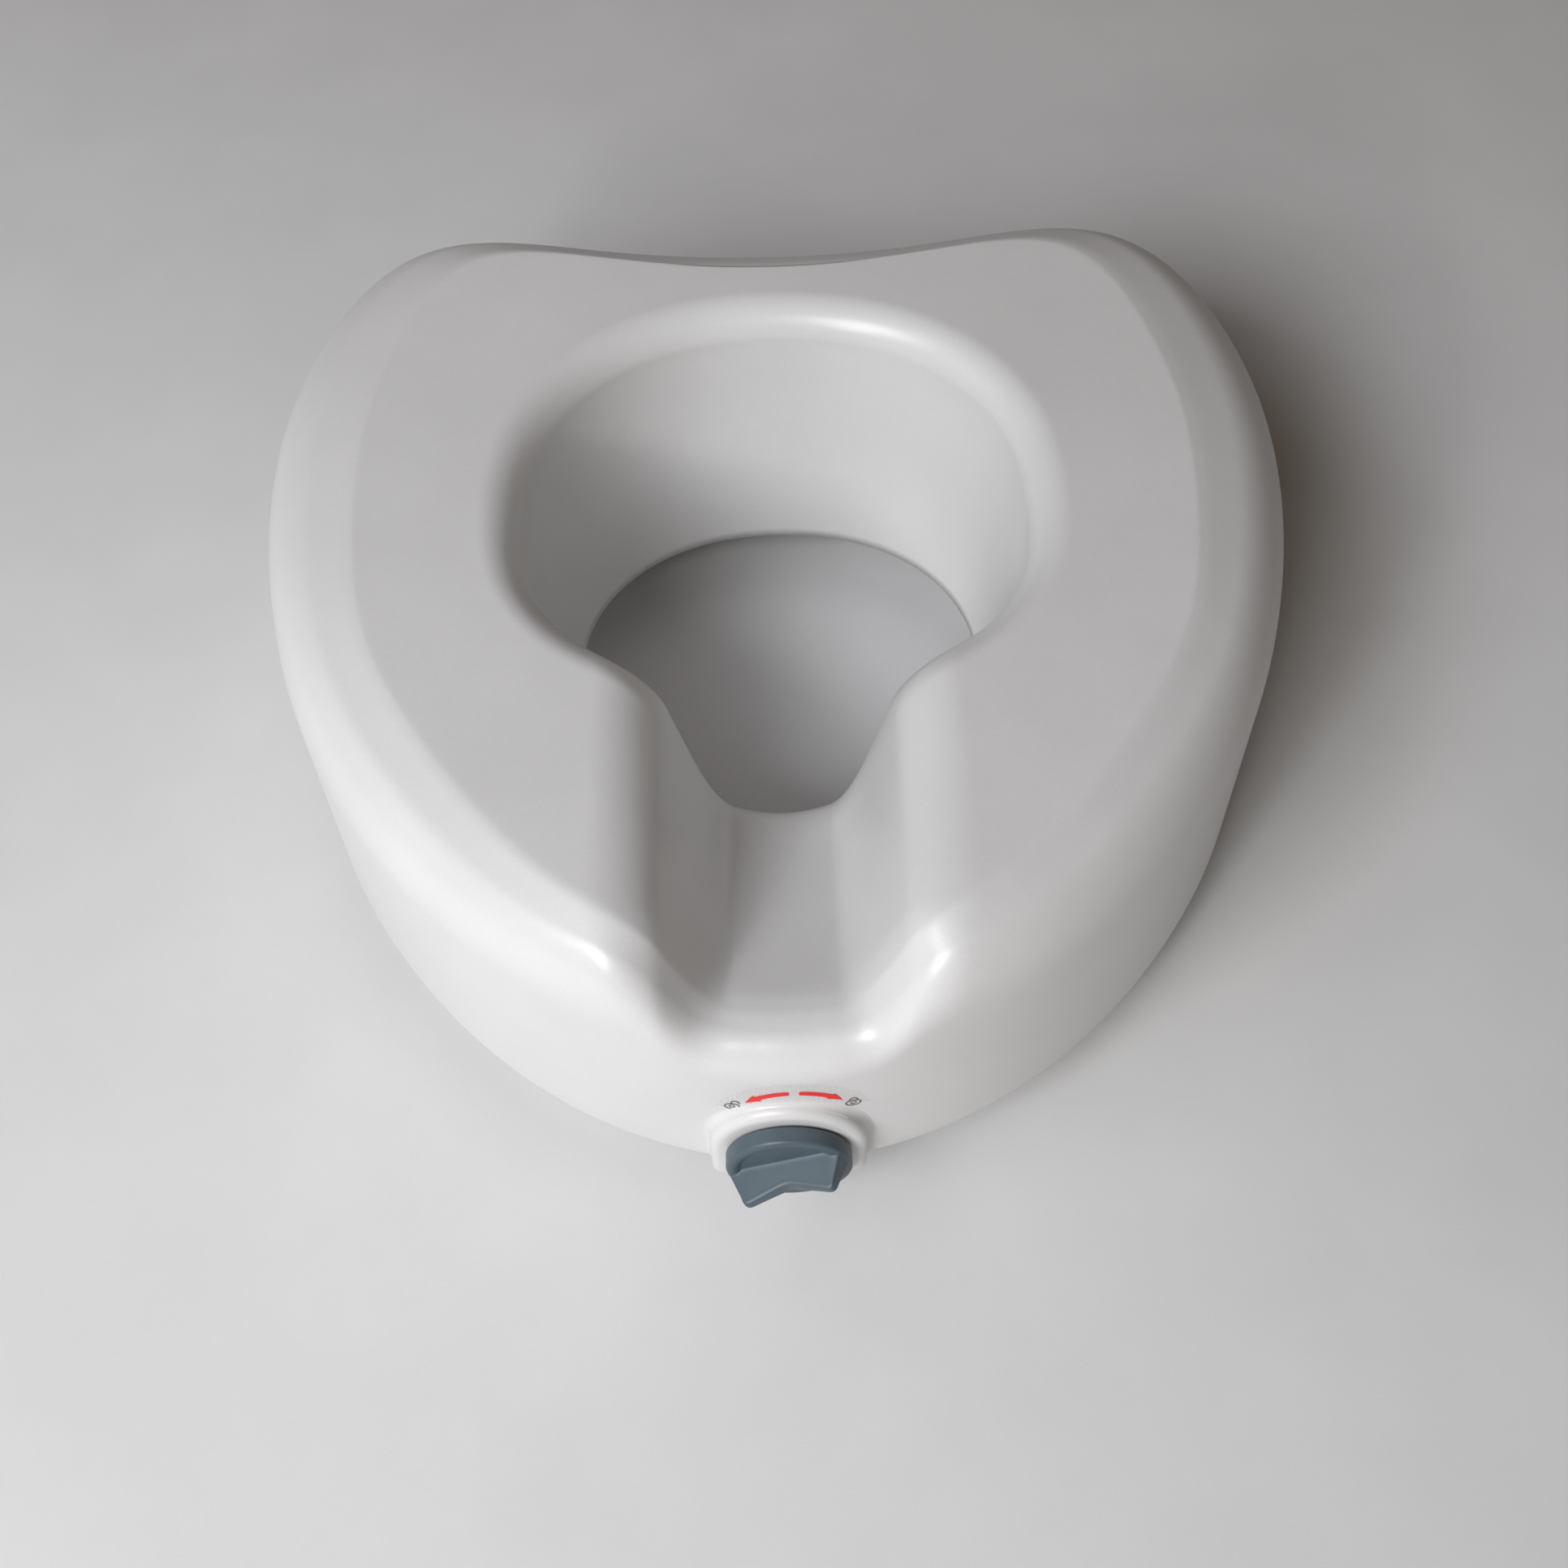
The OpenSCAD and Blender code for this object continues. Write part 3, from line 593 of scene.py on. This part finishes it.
# ---------------------------------------------------------------- spindle with a real thread
def build_spindle():
    """Turned spindle: tang, journal, clip groove, helical thread and tail."""
    around = 64
    core, crest, pitch, start, stop = 5.7, 7.0, 4.0, -236.0, -160.0
    plain = [(3.0, KNOB_BACK - 11.8), (3.0, KNOB_BACK - 4.5), (6.6, KNOB_BACK - 4.3), (7.0, KNOB_BACK - 3.9),
             (7.0, -241.3), (5.5, -241.2), (5.5, -239.8), (7.0, -239.7), (7.0, start)]
    tail = [(5.2, stop), (4.5, stop + 0.4), (4.5, -149.5), (4.0, -149.0)]
    angle = np.arange(around) * 2 * np.pi / around
    rings = []

    def ring(radius, y):
        across, up = radius * np.cos(angle), radius * np.sin(angle)
        rings.append(np.stack([across, np.broadcast_to(y, around), up], -1))

    for radius, y in plain:
        ring(np.full(around, radius), y)
    for y in np.arange(start + 0.25, stop, 0.25):
        phase = np.mod((y - start) / pitch + angle / (2 * np.pi), 1.0)
        tooth = np.clip(np.abs(phase - 0.5) * 5.2 - 0.65, 0, 1)
        run_in = min(1.0, (y - start) / 3, (stop - y) / 2)
        ring(crest - (crest - core) * (1 - tooth) * run_in, y)
    for radius, y in tail:
        ring(np.full(around, radius), y)
    grid = np.array(rings)
    count = len(rings)
    points = grid.reshape(-1, 3) + [0, 0, KNOB_Z]
    n = around
    faces = [(i * n + j, (i + 1) * n + j, (i + 1) * n + (j + 1) % n, i * n + (j + 1) % n)
             for i in range(count - 1) for j in range(n)]
    faces += [tuple(range(n)), tuple((count - 1) * n + j for j in reversed(range(n)))]
    spindle = make_object("spindle_thread", points, faces, STEEL, "crank")
    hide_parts("clamp_spindle")


# ---------------------------------------------------------------- label on the front wall
FILM_LIFT = 0.07


def on_wall(plan, lift):
    """(x, z) points laid on the front wall, lifted off it."""
    plan = np.asarray(plan, float)
    slope = (wall_y(plan[:, 0] + 0.5) - wall_y(plan[:, 0] - 0.5))
    normal = unit(np.stack([slope, -np.ones(len(plan)), np.zeros(len(plan))], -1))
    base = np.stack([plan[:, 0], wall_y(plan[:, 0]), plan[:, 1]], -1)
    return base + normal * lift


def printed_band(left, right, lift, thick, closed_band=False):
    """A raised band on the wall between two rows of (x, z) points."""
    left, right = np.asarray(left, float), np.asarray(right, float)
    corners = [on_wall(left, lift + thick), on_wall(right, lift + thick),
               on_wall(right, lift), on_wall(left, lift)]
    grid = np.stack(corners, axis=1)
    count = len(grid)
    faces = []
    for i in range(count if closed_band else count - 1):
        k = (i + 1) % count
        faces += [(i * 4 + j, k * 4 + j, k * 4 + (j + 1) % 4, i * 4 + (j + 1) % 4) for j in range(4)]
    if not closed_band:
        faces += [(0, 1, 2, 3), tuple((count - 1) * 4 + j for j in (3, 2, 1, 0))]
    return grid.reshape(-1, 3), faces


def printed_piece(name, bands, material):
    """One piece from several bands, with its normals made consistent."""
    points, faces, start = [], [], 0
    for p, f in bands:
        points.append(p)
        faces += [tuple(start + k for k in face) for face in f]
        start += len(p)
    obj = make_object(name, np.concatenate(points), faces, material, "seat")
    mesh = bmesh.new()
    mesh.from_mesh(obj.data)
    bmesh.ops.recalc_face_normals(mesh, faces=mesh.faces)
    mesh.to_mesh(obj.data)
    mesh.free()
    for polygon in obj.data.polygons:
        polygon.use_smooth = False
    return obj


def arrow(start, neck, tip, shaft, head):
    """Rows of a curved arrow about the label's centre; angles in degrees from straight up."""
    centre, radius = np.array([2.2, 39.0]), 22.0
    body = [(a, shaft * (0.75 if i == 0 else 1)) for i, a in enumerate(np.linspace(start, neck, 14))]
    point = [(a, head * (1 - k)) for a, k in zip(np.linspace(neck, tip, 8), np.linspace(0, 0.985, 8))]
    rows = body + point
    left = [centre + (radius + w) * np.array([math.sin(math.radians(a)), math.cos(math.radians(a))])
            for a, w in rows]
    right = [centre + (radius - w) * np.array([math.sin(math.radians(a)), math.cos(math.radians(a))])
             for a, w in rows]
    return left, right


def stroke(points, width, closed_band=False):
    points = np.asarray(points, float)
    if closed_band:
        d = np.roll(points, -1, 0) - np.roll(points, 1, 0)
    else:
        d = np.gradient(points, axis=0)
    n = unit(np.stack([-d[:, 1], d[:, 0]], -1))
    return points + n * width / 2, points - n * width / 2


def ellipse(centre, rx, rz, start=0, stop=360, steps=28, tilt=0.0):
    closed_loop = abs(stop - start) == 360
    angles = np.radians(np.linspace(start, stop, steps, endpoint=not closed_loop))
    x, z = rx * np.cos(angles), rz * np.sin(angles)
    c, s = math.cos(math.radians(tilt)), math.sin(math.radians(tilt))
    return np.stack([centre[0] + c * x - s * z, centre[1] + s * x + c * z], -1)


def padlock(centre, tilt, is_open):
    """Outline padlock: rounded body with a keyhole ring, and a shackle."""
    c, s = math.cos(math.radians(tilt)), math.sin(math.radians(tilt))

    def at(x, z):
        return (centre[0] + c * x - s * z, centre[1] + s * x + c * z)

    lift, thick, pen = FILM_LIFT + 0.05, 0.05, 0.50
    shackle_x = 1.9 if is_open else 0.0
    shackle_z = 1.6 if is_open else 1.5
    body = stroke(ellipse(at(0, -0.7), 2.7, 2.1, tilt=tilt), pen, True)
    keyhole = stroke(ellipse(at(0, -0.7), 1.0, 0.95, tilt=tilt), pen * 0.8, True)
    shackle = stroke(ellipse(at(shackle_x, shackle_z), 1.45, 1.7, -20, 200, 18, tilt), pen)
    return [printed_band(*body, lift, thick, True), printed_band(*keyhole, lift, thick, True),
            printed_band(*shackle, lift, thick)]


def build_label():
    """Clear crescent film with two arrows and two padlocks."""
    film_centre, film_r, inner_r = (2.0, 39.0), 29.3, 32.7
    x = np.linspace(-26.2, 30.2, 96)
    top = film_centre[1] + np.sqrt(np.maximum(film_r ** 2 - (x - film_centre[0]) ** 2, 0))
    low = np.maximum(47.2, KNOB_Z + np.sqrt(np.maximum(inner_r ** 2 - x ** 2, 0)) + 0.2)
    low = np.minimum(low, top - 0.3)
    sheet = printed_band(np.stack([x, top], -1), np.stack([x, low], -1), 0.0, FILM_LIFT)
    film = printed_piece("label_film", [sheet], FILM)
    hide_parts("arrow_label")
    lift = FILM_LIFT + 0.05
    bands = [printed_band(*arrow(-4.0, -36.0, -52.0, 1.45, 2.6), lift, 0.06),
             printed_band(*arrow(5.4, 37.5, 53.4, 1.45, 2.25), lift, 0.06)]
    arrows = printed_piece("label_arrows", bands, RED)
    locks = printed_piece("label_padlocks", padlock((-20.3, 49.4), 14, True)
                          + padlock((23.9, 48.9), 0, False), INK)


# ---------------------------------------------------------------- camera, light and floor
def build_camera():
    """The camera that the seat was seen by: above and in front, 44 mm lens."""
    yaw, elevation, roll = map(math.radians, (0.54, 55.85, -1.83))
    target, distance = Vector((1.2, -126.0, 60.0)), 760.1
    back = Vector((math.sin(yaw) * math.cos(elevation), -math.cos(yaw) * math.cos(elevation),
                   math.sin(elevation)))
    place = target + back * distance
    right = (-back).cross(Vector((0, 0, 1))).normalized()
    up = right.cross(-back)
    side = math.cos(roll) * right + math.sin(roll) * up
    high = -math.sin(roll) * right + math.cos(roll) * up
    data = bpy.data.cameras.new("camera")
    data.lens = 44.03
    data.sensor_width = 36.0
    data.clip_start = 0.01
    camera = bpy.data.objects.new("camera", data)
    row = Vector(to_row(place))
    camera.matrix_world = Matrix(((side.x, high.x, back.x, row.x), (side.y, high.y, back.y, row.y),
                                  (side.z, high.z, back.z, row.z), (0, 0, 0, 1)))
    bpy.context.scene.collection.objects.link(camera)
    bpy.context.scene.camera = camera
    return camera


def area_light(name, place, aim, size, power, colour=(1, 1, 1)):
    data = bpy.data.lights.new(name, "AREA")
    data.shape = "RECTANGLE"
    data.size, data.size_y = size
    data.energy = power
    data.color = colour
    obj = bpy.data.objects.new(name, data)
    obj.location = place
    obj.rotation_euler = (Vector(aim) - Vector(place)).to_track_quat("-Z", "Y").to_euler()
    bpy.context.scene.collection.objects.link(obj)


def build_floor():
    mesh = bpy.data.meshes.new("floor")
    half = 6.0
    mesh.from_pydata([(-half, -half, 0), (half, -half, 0), (half, half, 0), (-half, half, 0)], [],
                     [(0, 1, 2, 3)])
    floor = bpy.data.objects.new("floor", mesh)
    floor.location.z = cad_low.z - 0.0002
    bpy.context.scene.collection.objects.link(floor)
    mesh.materials.append(plastic("floor_paint", (0.76, 0.76, 0.76), (0.80, 0.80, 0.80),
                                  (0.75, 0.85), (0.0, 0.0)))


def build_lights():
    world = bpy.data.worlds.new("studio")
    world.use_nodes = True
    world.node_tree.nodes["Background"].inputs["Color"].default_value = (1.0, 0.80, 0.60, 1)
    world.node_tree.nodes["Background"].inputs["Strength"].default_value = 0.075
    bpy.context.scene.world = world
    area_light("window", (-1.05, -1.58, 1.72), (0, -0.05, 0.10), (1.35, 0.95), 46.0, (0.972, 0.978, 1.0))
    area_light("skylight", (-0.9, -0.35, 1.45), (0, -0.02, 0.08), (0.7, 0.6), 2.2, (0.72, 0.80, 1.0))
    area_light("side", (-1.5, -0.1, 0.75), (-0.1, 0, 0.10), (0.9, 0.6), 1.5, (1.0, 0.97, 0.92))
    area_light("lamp", (-0.66, -1.22, 0.80), (0, -0.08, 0.12), (0.16, 0.16), 3.4, (1.0, 0.99, 0.97))
    bpy.context.scene.view_settings.view_transform = "Standard"


build_camera()
build_lights()
build_floor()
dress_cad_nodes()
build_shell()
build_collar()
build_knob()
build_spindle()
build_label()
